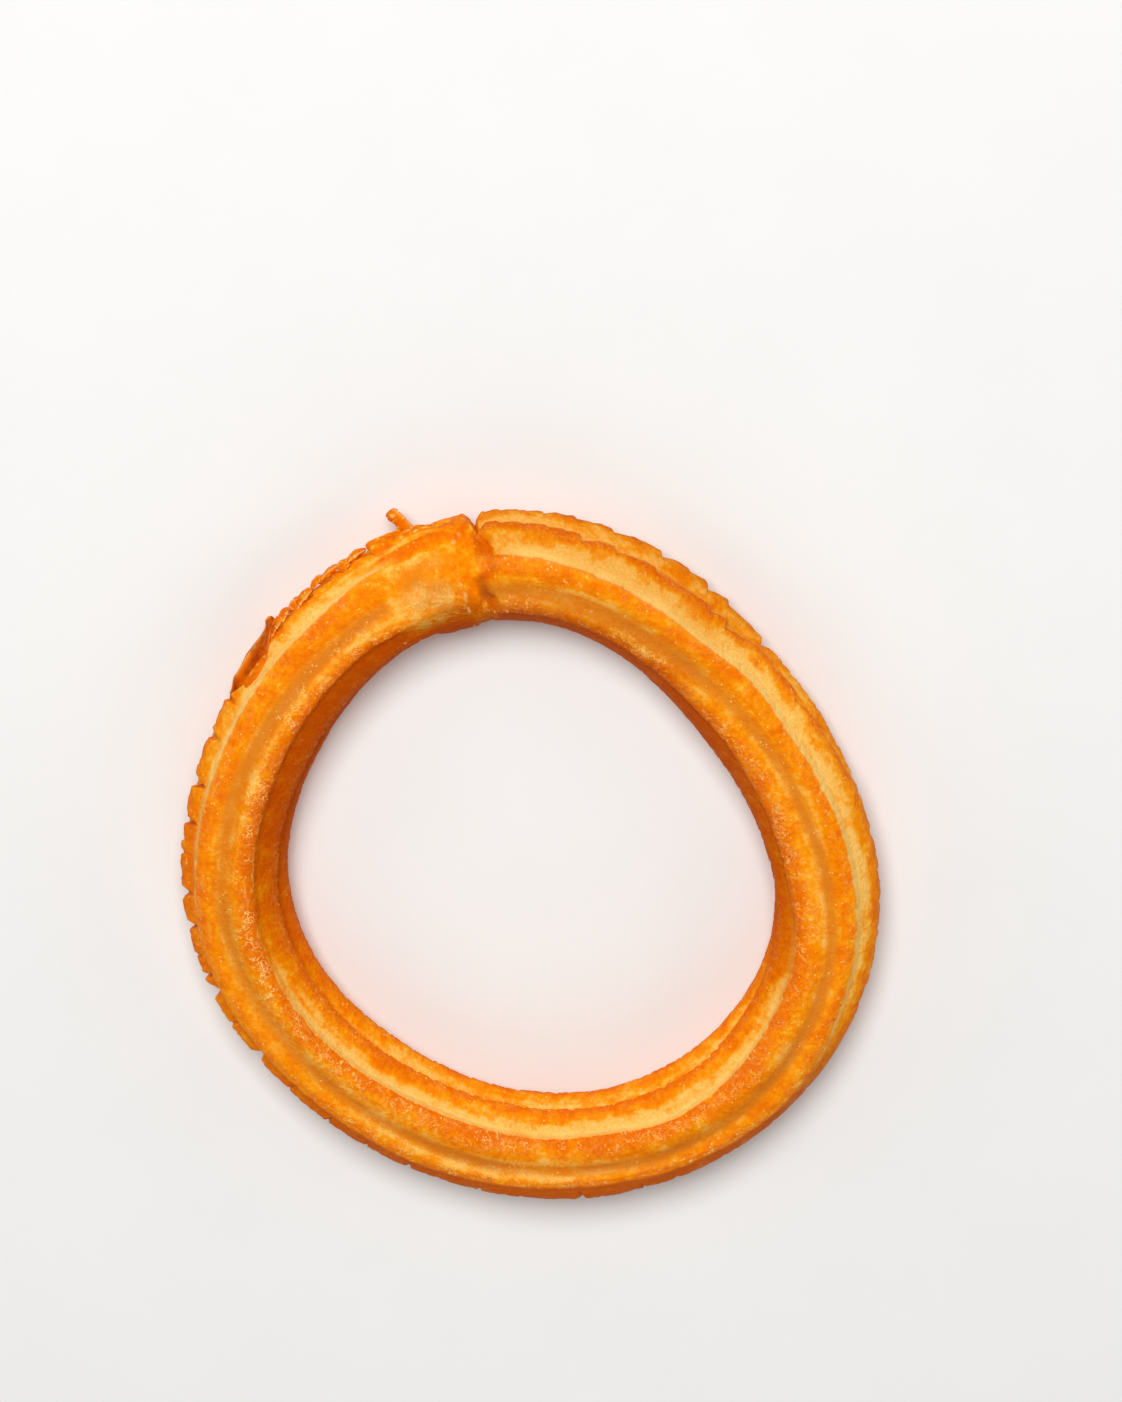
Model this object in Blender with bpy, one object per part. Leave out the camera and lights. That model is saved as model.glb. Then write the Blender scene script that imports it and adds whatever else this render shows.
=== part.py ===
"""Churro ring: a rope of dough piped through an eight-point star nozzle, closed into a
loop with its two ends pressed together, and fried.  It lies flat on its underside.

Metres, +Z up.  The origin is under the middle of the loop, on the surface it rests on.
A "turn" is an angle round the loop in degrees, counter-clockwise from +X, seen from above.
A "lie" is an angle round the rope in degrees, from straight up (0) towards the outside (90).
"""
from math import cos, exp, pi, radians, sin

import bmesh
import bpy
from mathutils import Vector

# Driving dimensions.
LOOP_RADIUS = 0.03865          # mean radius of the rope's centre line
LOOP_CENTRE = (-0.000115, -0.000884)  # so that the outline is centred on the origin
ROPE_RADIUS = 0.0071           # to the top of a ridge
GROOVE_DEPTH = 0.0016          # of the deepest grooves
REST_CUT = 0.0005              # how much of the lowest ridge is pressed flat
JOINT_TURN = 99.0              # where the two ends meet

# How the loop strays from a circle: waves in a turn, their height, the turn of their first crest.
LOOP_WAVES = (
    (2, 0.0021, -63.0),
    (3, 0.0009, -31.0),
    (4, 0.0005, 4.0),
)

# Where the edges of the upper ridges and the bottom of the wide groove between them run:
# turn, lie.  The rope twists slowly along its length.
OUTER_EDGE = (
    (99, 51), (127, 45), (150, 45), (178, 43), (194, 46), (215, 41), (252, 35),
    (278, 25), (316, 41), (335, 30), (365, 28), (403, 30), (420, 22), (441, 25), (459, 31),
)
WIDE_GROOVE = (
    (99, 8), (154, 12), (186, 13), (218, 9), (260, 5), (285, 5), (310, 11), (346, 5),
    (378, -2), (394, 0), (410, -4), (426, -12), (459, -13),
)
INNER_EDGE = (
    (99, -23), (128, -16), (146, -17), (178, -22), (221, -24), (243, -31), (288, -32),
    (304, -26), (325, -31), (348, -35), (366, -44), (403, -37), (420, -40), (459, -40),
)
LOW_INNER_EDGE = (
    (99, -55), (189, -57), (211, -61), (245, -67), (270, -70), (309, -65), (351, -71),
    (375, -80), (459, -82),
)

# The other ridges follow these.
BESIDE = (
    (99, 41.5), (305, 41.5), (330, 49), (350, 54), (366, 51), (384, 43), (400, 41), (459, 41.5),
)                              # degrees from the outer edge on to the next ridge, by turn
BEYOND = 86.0                  # degrees from the outer edge on to the ridge after that
UNDER = (0.344, 0.649)         # shares of the way round below, to the two ridges on the underside
BELOW_INNER = -46.0            # degrees from the low inner edge on to the next ridge

# The ridges, from the upper outer one round by way of the outside and the underside: its steep
# side (1 beyond it, -1 before it, 0 none), degrees of level crest on the gentle side, depth of
# the groove after it as a share, and the turns past the joint over which it grows.
RIDGES = (
    (1, 6.0, 0.42, (10.0, 19.0)),
    (1, 4.0, 1.00, (1.5, 5.0)),
    (1, 4.0, 1.00, (1.0, 5.0)),
    (0, 4.0, 1.00, (3.0, 11.0)),
    (0, 4.0, 1.00, (5.0, 14.0)),
    (-1, 4.0, 1.00, (6.0, 15.0)),
    (-1, 3.0, 0.52, (8.0, 17.0)),
    (-1, 12.0, 0.52, (12.5, 18.0)),
)
WALL = 7.0                     # degrees that a steep side takes
LEDGE = (222.0, 245.0, 322.0, 342.0)  # turns over which the outer groove is nearly filled
LEDGE_FILL = 0.65

# A flank from its top to its bottom, the same one the other way, and a groove with even sides:
# share of the way across, share of the depth.
FALLING = ((0.0, 0.0), (1 / 3, 0.25), (2 / 3, 0.75), (1.0, 1.0))
RISING = ((0.0, 1.0), (1 / 3, 0.75), (2 / 3, 0.25), (1.0, 0.0))
EVEN = ((0.0, 0.0), (0.5, 1.0), (1.0, 0.0))

# The pressed joint, in turns from where the ends meet: the right end stops, the web between the
# ends is deepest, the left end begins, and the ridges' lies pass from one end to the other.
RIGHT_END = (-3.0, -1.6)
VALLEY_TURN = -1.6
VALLEY_WIDTH = 1.4
LEFT_END = (1.8, 3.0)
LIES_PASS = (-1.5, 7.0)
WEB_DEPTH = 0.0010             # below the tops of the ridges
VALLEY_DEPTH = 0.0007          # below the web
SMOOTH_DEPTH = 0.00045         # of the left end's smooth upper side, below the tops of the ridges
HOLE_BULGE = 0.0004            # of the left end towards the loop's hole

# A strip torn off the outer side, curled up along it.
CURL_TURNS = (131.5, 147.5)
CURL_LIE = 75.0
CURL_WIDTH = 13.0              # degrees of lie
CURL_HEIGHT = 0.0011

# A wisp of dough that stands off the outer side, like a small horn.
HORN_TURN = 108.4
HORN_LIE = 97.0
HORN_ROOT_RADIUS = 0.00085
HORN_TIP_RADIUS = 0.0006
HORN_LENGTH = 0.0030           # proud of the rope
HORN_BEND = 0.0005

# Mesh fineness.
STATIONS = 108
JOINT_CROWDING = 0.76          # 0 spaces the stations evenly, near 1 crowds them at the joint

CRUST_COLOUR = (0.76, 0.30, 0.035, 1.0)
CRUST_ROUGHNESS = 0.48


def smoothstep(low, high, value):
    t = min(max((value - low) / (high - low), 0.0), 1.0)
    return t * t * (3.0 - 2.0 * t)


def mix(a, b, share):
    return a + (b - a) * share


def remove_old_objects():
    for old in list(bpy.data.objects):
        bpy.data.objects.remove(old, do_unlink=True)


def new_collection(name):
    collection = bpy.data.collections.new(name)
    bpy.context.scene.collection.children.link(collection)
    return collection


def crust_material():
    material = bpy.data.materials.new("fried_crust")
    material.use_nodes = True
    shader = material.node_tree.nodes["Principled BSDF"]
    shader.inputs["Base Color"].default_value = CRUST_COLOUR
    shader.inputs["Roughness"].default_value = CRUST_ROUGHNESS
    shader.inputs["Metallic"].default_value = 0.0
    return material


def outward_at(turn):
    return Vector((cos(radians(turn)), sin(radians(turn)), 0.0))


def loop_point(turn):
    """The rope's centre line."""
    radius = LOOP_RADIUS
    for waves, height, crest in LOOP_WAVES:
        radius += height * cos(radians(waves * (turn - crest)))
    point = outward_at(turn) * radius
    point.x += LOOP_CENTRE[0]
    point.y += LOOP_CENTRE[1]
    point.z = ROPE_RADIUS - REST_CUT
    return point


def loop_side(turn):
    """Square to the centre line, level and outward."""
    step = 0.5
    along = loop_point(turn + step) - loop_point(turn - step)
    return along.cross(Vector((0.0, 0.0, 1.0))).normalized()


def track_slope(track, index):
    before = track[max(index - 1, 0)]
    after = track[min(index + 1, len(track) - 1)]
    return (after[1] - before[1]) / (after[0] - before[0])


def on_track(track, turn):
    """A smooth curve through (turn, value) stations."""
    index = 0
    while index < len(track) - 2 and turn > track[index + 1][0]:
        index += 1
    (turn_a, value_a), (turn_b, value_b) = track[index], track[index + 1]
    span = turn_b - turn_a
    t = (turn - turn_a) / span
    start = value_a * (1.0 + 2.0 * t) + track_slope(track, index) * span * t
    end = value_b * (3.0 - 2.0 * t) - track_slope(track, index + 1) * span * (1.0 - t)
    return start * (1.0 - t) ** 2 + end * t**2


def lies_at(turn):
    """The lie of each ridge's edge, of the first one again a turn on, and of the wide groove."""
    outer = on_track(OUTER_EDGE, turn)
    low = on_track(LOW_INNER_EDGE, turn) + 360.0
    inner = on_track(INNER_EDGE, turn) + 360.0
    second = outer + on_track(BESIDE, turn)
    third = outer + BEYOND
    sixth = low + BELOW_INNER
    under = [mix(third, sixth, share) for share in UNDER]
    wide = on_track(WIDE_GROOVE, turn) + 360.0
    return [outer, second, third, *under, sixth, low, inner, outer + 360.0, wide]


def from_joint(turn):
    past = turn - JOINT_TURN
    return past if past < 180.0 else past - 360.0


def section_lies(turn):
    """The lies, carried evenly from one end of the rope to the other across the joint."""
    low, high = LIES_PASS
    past = from_joint(turn)
    if not low < past < high:
        return lies_at(turn)
    share = smoothstep(low, high, past)
    right = lies_at(JOINT_TURN + 360.0 + low)
    left = lies_at(JOINT_TURN + high)
    return [mix(a, b, share) for a, b in zip(right, left)]


def spread(low, high, profile, groove):
    return [(mix(low, high, share), fall, groove) for share, fall in profile]


def star_columns(turn):
    """(lie, share of the groove's depth, groove) of each point round the rope's section."""
    *edges, wide = section_lies(turn)
    columns = []
    for index, (lean, level, _, _) in enumerate(RIDGES):
        next_lean, next_level, _, _ = RIDGES[(index + 1) % len(RIDGES)]
        low = edges[index] + (WALL if lean == 1 else level)
        high = edges[index + 1] - (WALL if next_lean == -1 else next_level)
        columns.append((edges[index], 0.0, index))
        if lean == 1:
            columns += spread(low, high, RISING, index)
        elif next_lean == -1:
            columns += spread(low, high, FALLING, index)
        elif next_lean == 1:
            columns += spread(low, wide, FALLING, index)
            columns += spread(wide, high, RISING[1:], index)
        else:
            columns += spread(low, high, EVEN, index)
    return columns


def signed(lie):
    return (lie + 180.0) % 360.0 - 180.0


def groove_depth(turn, groove):
    depth = GROOVE_DEPTH * RIDGES[groove][2]
    if groove == 0:
        filled = smoothstep(LEDGE[0], LEDGE[1], turn) * (1.0 - smoothstep(LEDGE[2], LEDGE[3], turn))
        depth *= 1.0 - LEDGE_FILL * filled
    return depth


def ridge_strength(turn, groove):
    """1 where the ridges stand full, 0 where the left end is smooth."""
    past = from_joint(turn)
    return 1.0 if past < 0.0 else smoothstep(*RIDGES[groove][3], past)


def joint_web(turn):
    """1 between the two ends, 0 on them."""
    past = from_joint(turn)
    return smoothstep(*RIGHT_END, past) * (1.0 - smoothstep(*LEFT_END, past))


def curl_height(turn, lie):
    low, high = CURL_TURNS
    if not low < turn < high:
        return 0.0
    along = sin(pi * ((turn - low) / (high - low)) ** 0.8)
    return CURL_HEIGHT * along * exp(-(((lie - CURL_LIE) / CURL_WIDTH) ** 2))


def surface_point(turn, column):
    lie, fall, groove = column
    side = signed(lie)
    upward = exp(-((side / 50.0) ** 2))
    to_hole = smoothstep(-42.0, -70.0, side) if side > -110.0 else smoothstep(-150.0, -115.0, side)
    smooth = -SMOOTH_DEPTH * upward + HOLE_BULGE * to_hole
    relief = mix(smooth, -groove_depth(turn, groove) * fall, ridge_strength(turn, groove))
    valley = exp(-(((from_joint(turn) - VALLEY_TURN) / VALLEY_WIDTH) ** 2))
    web = -(WEB_DEPTH + VALLEY_DEPTH * valley) * (1.0 - 0.9 * to_hole)
    relief = mix(relief, web, joint_web(turn))
    radius = ROPE_RADIUS + relief + curl_height(turn, side)
    point = loop_point(turn)
    point += loop_side(turn) * (radius * sin(radians(lie)))
    point.z += radius * cos(radians(lie))
    point.z = max(point.z, 0.0)
    return point


def station_turns():
    turns = []
    for index in range(STATIONS):
        share = index / STATIONS
        crowded = JOINT_CROWDING * sin(2.0 * pi * share) / (2.0 * pi)
        turns.append(JOINT_TURN + 360.0 * (share - crowded))
    return turns


def rope_mesh():
    """Star sections strung along the loop and closed on the first one."""
    shape = bmesh.new()
    rings = []
    for turn in station_turns():
        rings.append([shape.verts.new(surface_point(turn, column)) for column in star_columns(turn)])
    for index, ring in enumerate(rings):
        following = rings[(index + 1) % len(rings)]
        for side in range(len(ring)):
            beyond = (side + 1) % len(ring)
            shape.faces.new((ring[side], ring[beyond], following[beyond], following[side]))
    bmesh.ops.triangulate(shape, faces=shape.faces[:])
    bmesh.ops.recalc_face_normals(shape, faces=shape.faces[:])
    mesh = bpy.data.meshes.new("churro")
    shape.to_mesh(mesh)
    shape.free()
    return mesh


def horn_mesh():
    """A short bent spike, as a bevelled curve turned into a closed mesh."""
    side = loop_side(HORN_TURN)
    along = side.cross(Vector((0.0, 0.0, -1.0)))
    lie = radians(HORN_LIE)
    out = side * sin(lie) + Vector((0.0, 0.0, cos(lie)))
    foot = loop_point(HORN_TURN) + out * (ROPE_RADIUS - GROOVE_DEPTH)
    reach = GROOVE_DEPTH + HORN_LENGTH
    curve = bpy.data.curves.new("horn", "CURVE")
    curve.dimensions = "3D"
    curve.bevel_depth = 1.0
    curve.bevel_resolution = 2
    curve.use_fill_caps = True
    spline = curve.splines.new("POLY")
    steps = 5
    spline.points.add(steps - 1)
    for index, point in enumerate(spline.points):
        share = index / (steps - 1)
        place = foot + out * (reach * share) + along * (HORN_BEND * sin(pi * share))
        point.co = (*place, 1.0)
        point.radius = HORN_ROOT_RADIUS + (HORN_TIP_RADIUS - HORN_ROOT_RADIUS) * share
    guide = bpy.data.objects.new("horn_guide", curve)
    bpy.context.scene.collection.objects.link(guide)
    bpy.context.view_layer.update()
    evaluated = guide.evaluated_get(bpy.context.evaluated_depsgraph_get())
    mesh = bpy.data.meshes.new_from_object(evaluated)
    shape = bmesh.new()
    shape.from_mesh(mesh)
    bmesh.ops.remove_doubles(shape, verts=shape.verts[:], dist=0.00001)
    bmesh.ops.recalc_face_normals(shape, faces=shape.faces[:])
    shape.to_mesh(mesh)
    shape.free()
    bpy.data.objects.remove(guide, do_unlink=True)
    return mesh


def build_churro():
    parts = new_collection("churro_ring")
    joiners = new_collection("joined_shapes")
    horn = bpy.data.objects.new("horn", horn_mesh())
    horn.hide_render = True
    horn.display_type = "WIRE"
    joiners.objects.link(horn)

    churro = bpy.data.objects.new("churro", rope_mesh())
    churro.data.materials.append(crust_material())
    parts.objects.link(churro)
    union = churro.modifiers.new("horn", "BOOLEAN")
    union.operation = "UNION"
    union.solver = "EXACT"
    union.object = horn
    churro.data.shade_smooth()
    churro.data.set_sharp_from_angle(angle=radians(50.0))
    return churro


def main():
    remove_old_objects()
    build_churro()


main()
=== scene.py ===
"""Looks of the churro ring: a rope of dough piped through an eight-point star nozzle, closed
into a loop with its two ends pressed together, and fried.

Metres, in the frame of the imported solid.  A "turn" is an angle round the loop in degrees,
counter-clockwise from +X, seen from above.  A "lie" is an angle round the rope in degrees, from
straight up (0) towards the outside (90).  Reliefs and textures are given in millimetres.
"""
from math import atan, cos, pi, radians, sin

import bmesh
import bpy
import numpy as np
from bpy.props import FloatProperty, FloatVectorProperty, IntProperty, PointerProperty
from mathutils import Matrix, Vector


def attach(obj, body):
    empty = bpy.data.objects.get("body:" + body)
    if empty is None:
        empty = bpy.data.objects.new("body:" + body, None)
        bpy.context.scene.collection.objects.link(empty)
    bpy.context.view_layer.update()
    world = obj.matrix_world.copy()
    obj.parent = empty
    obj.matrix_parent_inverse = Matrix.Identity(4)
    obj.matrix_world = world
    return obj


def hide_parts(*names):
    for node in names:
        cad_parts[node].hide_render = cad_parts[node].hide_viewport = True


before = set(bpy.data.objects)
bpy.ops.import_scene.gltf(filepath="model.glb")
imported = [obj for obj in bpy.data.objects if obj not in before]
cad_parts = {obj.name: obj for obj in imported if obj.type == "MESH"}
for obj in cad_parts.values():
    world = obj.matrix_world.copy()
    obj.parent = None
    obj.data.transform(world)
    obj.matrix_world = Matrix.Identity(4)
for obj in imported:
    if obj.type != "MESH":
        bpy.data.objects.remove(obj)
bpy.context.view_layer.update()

bl_info = {
    "name": "Churro ring",
    "version": (1, 0, 0),
    "blender": (4, 5, 0),
    "location": "3D View > Sidebar > Churro",
    "description": "Builds the ridged rope, pressed joint, torn bits and fried crust of a churro ring",
    "category": "Add Mesh",
}

NODE = "churro"
MM = 0.001

# ---- The rope's route, as the solid has it -------------------------------------------------

LOOP_CENTRE = (-0.000115, -0.000884)
JOINT_TURN = 99.0
REST_CUT = 0.0005

# How the loop strays from a circle: waves in a turn, height in metres, turn of the first crest.
LOOP_WAVES = (
    (2, 0.0021, -63.0),
    (3, 0.0009, -31.0),
    (4, 0.0005, 4.0),
)

# Where the edges of the upper ridges and the dull stripe between them run: turn, lie.
OUTER_EDGE = (
    (99, 50), (117, 48), (127, 42.5), (140, 44.5), (150, 43.5), (167, 42), (178, 42), (189, 46),
    (200, 45), (215, 41), (240, 37), (252, 35), (262, 30.5), (278, 24.5), (289, 28), (300, 34),
    (313, 41), (320, 42), (330, 35), (340, 32), (352, 31), (365, 30), (380, 29), (394, 28),
    (403, 30), (410, 27), (418, 21), (430, 21), (441, 23.5), (450, 28), (459, 31),
)
STRIPE = (
    (99, 8), (117, 8), (140, 10), (154, 12), (170, 11), (186, 13.5), (202, 11.5), (218, 9), (234, 8.5),
    (260, 5.5), (285, 5.5), (297, 9.5), (314, 11), (330, 7), (346, 5), (362, 0), (378, -1.5), (394, 0),
    (410, -4), (426, -12), (442, -13), (459, -13),
)
INNER_EDGE = (
    (99, -23), (113, -23), (118, -20), (128, -17.5), (146, -19), (158, -21), (178, -22),
    (200, -22), (221, -24), (232, -27.5), (243, -31.5), (270, -33), (288, -32), (299, -25.5),
    (309, -26.5), (325, -31), (348, -35), (360, -43), (372, -43.5), (385, -39.5), (403, -36.5),
    (415, -40.5), (459, -40),
)
LOW_INNER_EDGE = (
    (99, -55), (157, -56), (189, -57), (211, -60.5), (231, -62.5), (245, -67), (270, -70),
    (290, -68), (309, -65), (325, -69.5), (351, -70.5), (375, -80), (459, -82),
)

# ---- The ridges, from the upper outer one round by way of the outside and the underside ------
# Each has a sharp edge on one side and falls gently on the other, the side that faces the stripe.
# lean of the sharp edge (1 up in lie, -1 down, 0 none); level width on the gentle side, degrees;
# depth of the groove after it, a share; depth and pitch of its teeth, mm; how far the teeth sway,
# degrees; how blistered it is, 0 to 1; turns past the joint over which it grows out of the end.

RIDGES = (
    (1, 6.0, 0.42, 0.05, 2.0, 1.4, 0.60, (10.0, 19.0)),
    (1, 4.0, 1.00, 0.22, 1.9, 2.4, 0.25, (1.5, 5.0)),
    (1, 4.0, 1.00, 0.26, 1.2, 2.0, 0.15, (1.0, 5.0)),
    (0, 4.0, 1.00, 0.18, 2.0, 0.0, 0.15, (3.0, 11.0)),
    (0, 4.0, 1.00, 0.12, 2.0, 0.0, 0.15, (5.0, 14.0)),
    (-1, 4.0, 1.00, 0.20, 1.3, 2.0, 0.15, (6.0, 15.0)),
    (-1, 3.0, 0.52, 0.10, 1.2, 2.2, 0.25, (8.0, 17.0)),
    (-1, 12.0, 0.52, 0.05, 2.2, 0.9, 1.00, (12.5, 18.0)),
)
BESIDE = (
    (99, 41.5), (305, 41.5), (330, 49), (350, 54), (366, 51), (384, 43), (400, 41), (459, 41.5),
)  # degrees from the outer edge on to the next ridge, by turn
BEYOND = 86.0  # degrees from the outer edge on to the ridge after that
UNDER = (0.344, 0.649)  # shares of the way round below, to the two ridges on the underside
BELOW_INNER = -46.0  # degrees from the low inner edge on to the next ridge
WALL = 7.0  # degrees that a sharp edge's wall takes
UPPER_WALL = 11.0  # the same for the upper outer ridge's, which is lower
ROUNDING = 1.2  # degrees, of a sharp edge
JOINT_EASE = (-1.5, 7.0)  # turns from the seam over which the ridges' lies pass from end to end
VALLEY_SHARE = 0.6  # of the columns across the stripe's groove, those before its bottom

# How far each groove is darkened beyond its pale dough, 0 to 1, by turn, partly real toasting and
# partly painted shade on the hole side and the underside; the groove before the ridge after it in the
# table above, in the same order.
TOAST_AND_SHADE = (
    ((99, 0.05), (150, 0.05), (168, 0.35), (190, 0.5), (212, 0.65), (235, 1.0), (312, 1.0), (322, 0.7),
     (332, 0.3), (345, 0.1), (365, 0.0), (459, 0.0)),
    ((99, 0.4), (200, 0.7), (365, 0.85), (380, 0.65), (400, 0.45), (420, 0.3), (440, 0.1), (459, 0.0)),
    ((99, 0.75), (459, 0.75)),
    ((99, 0.70), (459, 0.70)),
    ((99, 0.70), (459, 0.70)),
    ((99, 0.95), (190, 0.85), (205, 0.6), (220, 0.4), (240, 0.1), (315, 0.1), (332, 0.45), (346, 0.8),
     (459, 0.95)),
    ((99, 0.95), (140, 0.9), (170, 0.7), (186, 0.45), (200, 0.25), (215, 0.1), (235, 0.0), (318, 0.0),
     (332, 0.15), (346, 0.5), (362, 0.65), (385, 0.7), (400, 0.9), (459, 0.95)),
    ((99, 0.0), (459, 0.0)),
)

# Painted shade on the side that faces the ring's hole: how far it is darkened, 0 to 1, by turn.
INNER_SHADE = (
    (99, 1.0), (170, 0.95), (186, 0.65), (202, 0.30), (218, 0.10), (234, 0.0), (318, 0.0),
    (332, 0.20), (346, 0.55), (362, 0.80), (395, 0.85), (459, 0.85),
)

# How strong the painted highlight beside a sharp edge is, 0 to 1, by turn: outward ones, inward
# ones; and how wrinkled the inner ridge's crest is.
OUTER_EDGE_HIGHLIGHT = (
    (99, 1.0), (160, 1.0), (186, 0.5), (204, 0.15), (235, 0.0), (318, 0.0), (335, 0.4), (350, 0.8), (459, 1.0),
)
INNER_EDGE_HIGHLIGHT = (
    (99, 0.0), (195, 0.0), (215, 0.5), (235, 1.0), (318, 1.0), (335, 0.6), (350, 0.2), (362, 0.0), (459, 0.0),
)
WRINKLES = (
    (99, 0.4), (140, 0.6), (162, 1.0), (205, 1.0), (225, 0.3), (330, 0.15), (380, 0.35), (459, 0.4),
)

# Browning by degrees from a ridge's edge: on its gentle side, on its sharp side, and on both
# sides of a ridge without a sharp edge; and on the torn ridge's gentle side, left of the joint.
GENTLE_BROWN = ((0, 0.93), (4, 0.80), (8, 0.64), (11, 0.52), (15, 0.40), (19, 0.28), (24, 0.15), (28, 0.07))
TORN_BROWN = ((0, 0.78), (8, 0.68), (16, 0.60), (24, 0.50), (28, 0.34), (32, 0.10), (37, 0.0))
FRAYED_BROWN = ((0, 0.80), (5, 0.64), (10, 0.50), (16, 0.38), (22, 0.26), (28, 0.14), (35, 0.04))
SHARP_BROWN = ((0, 0.75), (0.7, 0.35), (1.4, 0.08), (3.0, 0.04))
LOWER_SHARP_BROWN = ((0, 0.85), (2.0, 0.65), (5.0, 0.35), (9.0, 0.12), (13.0, 0.0))
LEVEL_BROWN = ((0, 0.92), (7, 0.85), (15, 0.60), (23, 0.30), (30, 0.08))

# Browning across the upper groove, from the inner ridge (-1) by way of the stripe (0) to the
# outer one (1), and pale patches in it, paler dough with painted light where a flank faces the lamps:
# turn and reach, place across and reach, strength.
UPPER_BROWN = (
    (-1.0, 0.85), (-0.92, 0.83), (-0.8, 0.77), (-0.64, 0.64), (-0.5, 0.52), (-0.36, 0.42),
    (-0.2, 0.36), (0.0, 0.40), (0.2, 0.38), (0.36, 0.42), (0.5, 0.52), (0.64, 0.60), (0.8, 0.64),
    (0.92, 0.54), (1.0, 0.66),
)
PALE_AND_LIT_PATCHES = (
    (115, 9, -0.5, 0.2, 0.32), (134, 12, -0.46, 0.15, 0.22), (156, 14, -0.42, 0.12, 0.20), (172, 14, -0.24, 0.12, 0.14),
    (390, 12, -0.22, 0.1, 0.10), (425, 18, -0.46, 0.14, 0.16), (262, 30, 0.40, 0.2, 0.30),
)

# Runs of torn scales: ridge, then (turn, depth in mm, sway in degrees) of each step. A scale
# sinks with the turns as far as the next step, or, where its depth is negative, rises to it.
SCALES = (
    (1, (
        (103.0, 0.0, 0), (113.6, -0.55, 3), (117.6, -0.8, 5), (121.0, -0.45, 4), (124.6, -0.35, 3),
        (128.6, -0.5, 4), (131.5, -0.3, 3), (134.3, -0.45, 4), (137.5, -0.3, 2), (141.0, -0.4, 3),
        (144.5, -0.4, 3), (148.0, -0.4, 3),
    )),
    (1, (
        (389.6, 0.15, 5), (396.6, 0.25, 8), (404.7, 0.2, 6), (416.2, 0.35, 9), (420.0, 0.15, 5),
        (431.1, 0.15, 5), (438.0, 0.2, 7), (443.2, 0.25, 9), (448.5, 0.1, 3),
    )),
    (2, (
        (407.2, 1.3, 4), (416.7, 0.45, 2), (421.4, 0.85, 3), (425.3, 0.3, 2), (430.4, 0.75, 3),
        (438.6, 0.4, 2), (444.1, 0.3, 2),
    )),
)

# Tears in the ridge that makes the outline: turn, depth in mm, half width in degrees.
TEARS = (
    (140.2, 0.5, 0.6), (147.5, 0.6, 0.5), (154.8, 0.7, 0.7), (163.7, 1.3, 0.8), (170.7, 1.0, 0.6),
    (176.4, 0.4, 0.4), (183.6, 0.9, 0.7), (189.6, 1.0, 0.7), (194.9, 0.4, 0.4), (198.8, 0.7, 0.5),
    (202.0, 1.3, 1.1), (208.3, 0.4, 0.4), (215.8, 1.3, 0.9), (224.0, 0.3, 0.4), (233.2, 0.4, 0.35),
    (241.5, 0.3, 0.3), (249.9, 0.45, 0.4), (262.5, 0.3, 0.3), (279.4, 0.5, 0.4), (289.5, 0.6, 0.35),
    (294.9, 0.5, 0.4), (303.0, 0.3, 0.3), (312.7, 0.6, 0.4), (320.0, 0.4, 0.3), (336.5, 0.4, 0.4),
)
TORN_RIDGE = 1

# The pressed joint, as turns from the seam: the left end's lip and the right end, by lie.
LIP = (
    (-180, 2.5), (-60, 2.6), (-10, 2.7), (10, 2.9), (30, 3.2), (50, 3.0), (65, 1.8), (80, 1.0),
    (110, 1.0), (140, 2.0), (180, 2.5),
)
BLUNT = (
    (-180, -2.0), (-75, -1.5), (-45, -3.0), (0, -3.0), (40, -2.9), (55, -2.0), (65, -1.2), (80, -0.9),
    (110, -0.9), (140, -1.5), (180, -2.0),
)


# Paths of the torn bits: turn, lie, lift over the round rope in mm, share of the full width.
CURL_PATH = (
    (131.4, 78, 1.25, 0.50), (132.2, 77, 1.25, 0.55), (133.0, 76, 1.0, 0.36), (134.4, 75, 0.5, 0.48),
    (136.8, 74, 0.0, 0.85), (139.8, 73, -0.25, 1.05), (142.8, 75, -0.35, 0.85), (145.6, 78, -0.5, 0.45),
    (147.6, 80, -0.7, 0.2),
)
CURL_FOLD_PATH = (
    (136.5, 63, -0.35, 0.5), (138.5, 61, -0.3, 0.9), (141.0, 61, -0.4, 1.0), (143.5, 63, -0.6, 0.6),
)
HORN_PATH = (
    (108.0, 95, -0.9, 1.1), (108.2, 96, 0.1, 1.0), (108.6, 97, 1.1, 0.85), (109.1, 98, 2.0, 0.85),
    (109.4, 99, 2.9, 0.95),
)
LIP_FOLD_PATH = (
    (104.5, 95, -0.6, 0.3), (107.5, 90, -0.4, 0.7), (111.0, 83, -0.3, 1.0), (113.9, 79, -0.05, 1.1),
)
LIP_LAYER_PATH = (
    (105.5, 101, -0.5, 0.4), (109.0, 95, -0.25, 0.8), (112.5, 91, -0.05, 1.0), (114.4, 89, 0.2, 1.0),
)

# ---- Settings a user would change -----------------------------------------------------------


def length_setting(name, text, default):
    return FloatProperty(name=name, description=text, default=default, subtype="DISTANCE", unit="LENGTH")


def colour_setting(name, text, default):
    return FloatVectorProperty(
        name=name, description=text, default=default, size=3, min=0.0, max=1.0, subtype="COLOR"
    )


def share_setting(name, text, default):
    return FloatProperty(name=name, description=text, default=default, min=0.0, max=1.0, subtype="FACTOR")


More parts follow.
